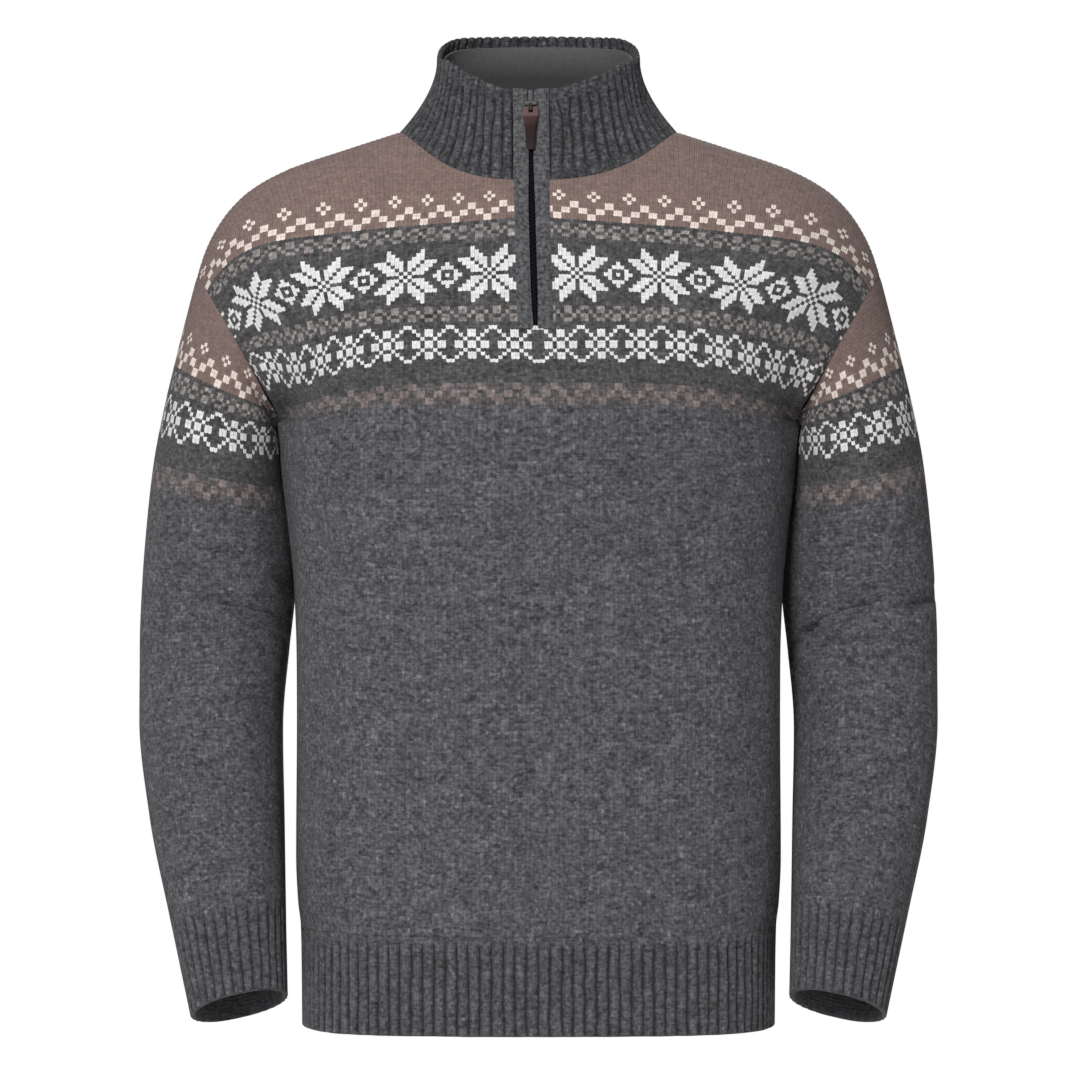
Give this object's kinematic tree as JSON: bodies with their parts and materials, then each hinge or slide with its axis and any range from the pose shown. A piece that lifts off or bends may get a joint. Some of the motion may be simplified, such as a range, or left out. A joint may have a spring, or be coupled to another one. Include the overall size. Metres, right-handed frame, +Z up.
{
  "type": "nordic yoke sweater with ribbed stand collar and short zip, worn shape, hollow",
  "caption": "Knitted pullover in the hollow shape it takes when worn, with ribbed stand collar, cuffs and hem, patterned yoke and a short front zip with a swinging leather pull.",
  "frame": {"origin": "middle of the neck at the height of the shoulder seams' upper ends, where the wearer's shoulders hold the sweater", "axes": "+Z up, +X towards the wearer's left, the front faces -Y"},
  "size_m": [0.624, 0.2488, 0.772],
  "materials": {
    "wool_knit": "marled grey wool knit with a patterned yoke in taupe, cream and beige",
    "wool_rib": "marled grey wool rib",
    "wool_band": "fine grey knitted tape",
    "facing": "smooth dark grey jersey",
    "zip_tape": "woven navy tape",
    "zip_coil": "dark moulded coil",
    "zip_slider": "aged, satin",
    "pull_leather": "reddish brown, smooth"
  },
  "bodies": {
    "garment": {"front_panel": "wool_knit", "back_panel": "wool_knit", "sleeve_left": "wool_knit", "sleeve_right": "wool_knit", "hem_rib_front": "wool_rib", "hem_rib_back": "wool_rib", "cuff_left": "wool_rib", "cuff_right": "wool_rib", "collar": "wool_rib", "collar_facing": "facing", "placket_band_left": "wool_band", "placket_band_right": "wool_band", "zip_guard": "wool_band", "zip_tape_left": "zip_tape", "zip_tape_right": "zip_tape", "zip_chain": "zip_coil", "zip_stop": "zip_coil", "zip_slider": "zip_slider"},
    "pull": {"zip_pull": "pull_leather"}
  },
  "joints": [
    {"name": "pull_swing", "type": "hinge", "parent": "garment", "child": "pull", "pos_m": [-0.00599, -0.07399, 0.01236], "axis": [-1, 0, 0], "range_deg": [0, 150]}
  ]
}
